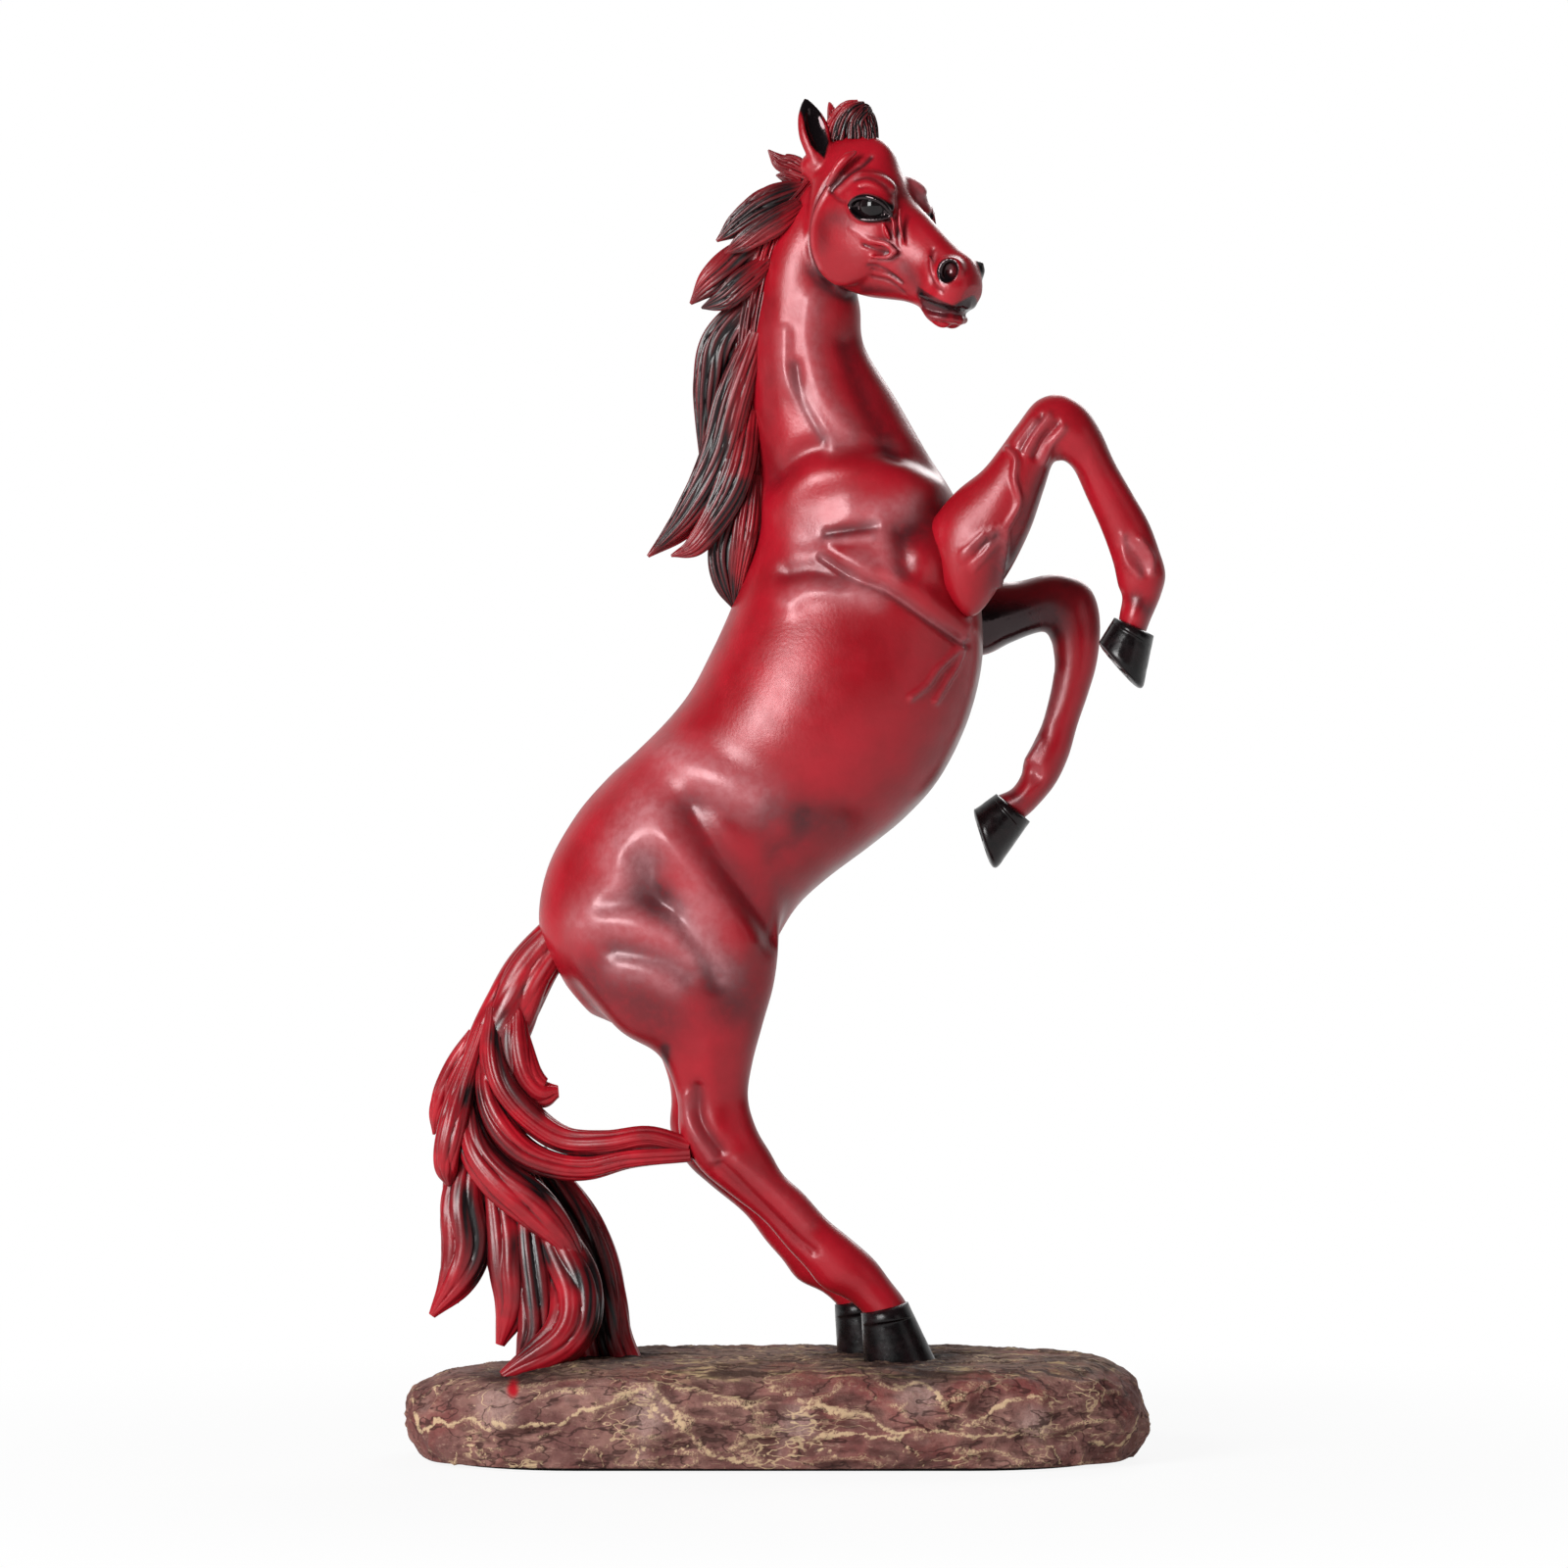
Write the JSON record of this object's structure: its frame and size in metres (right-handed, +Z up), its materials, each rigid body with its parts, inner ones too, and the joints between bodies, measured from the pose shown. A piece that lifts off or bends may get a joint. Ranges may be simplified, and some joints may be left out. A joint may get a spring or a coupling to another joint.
{
  "type": "horse figurine",
  "caption": "Rearing horse ornament in red lacquered cast resin, with a flowing tail and mane, standing on a rock base with a rubber sheet under it.",
  "frame": {"origin": "centre of the rubber sheet's underside, where the ornament rests", "axes": "+Z up, +X the way the horse faces, +Y to the horse's left"},
  "size_m": [0.1812, 0.0826, 0.3184],
  "materials": {
    "red_lacquer": "satin",
    "hair_lacquer": "satin",
    "hoof_black": "gloss",
    "eye_black": "high gloss",
    "painted_rock": "matt with dry-brushed veins",
    "pad_rubber": "matt",
    "steel": "drawn wire"
  },
  "bodies": {
    "root": {"base_pad": "pad_rubber", "rock_base": "painted_rock", "horse_body": "red_lacquer", "eye_right": "eye_black", "eye_left": "eye_black", "foreleg_right": "red_lacquer", "foreleg_left": "red_lacquer", "hoof_front_right": "hoof_black", "hoof_front_left": "hoof_black", "hoof_rear_right": "hoof_black", "hoof_rear_left": "hoof_black", "mane": "hair_lacquer", "forelock": "hair_lacquer", "tail": "hair_lacquer", "leg_rod_right": "steel", "leg_rod_left": "steel", "tail_rod": "steel", "tail_dowel": "steel", "foreleg_dowel_right": "steel", "foreleg_dowel_left": "steel"}
  },
  "joints": []
}
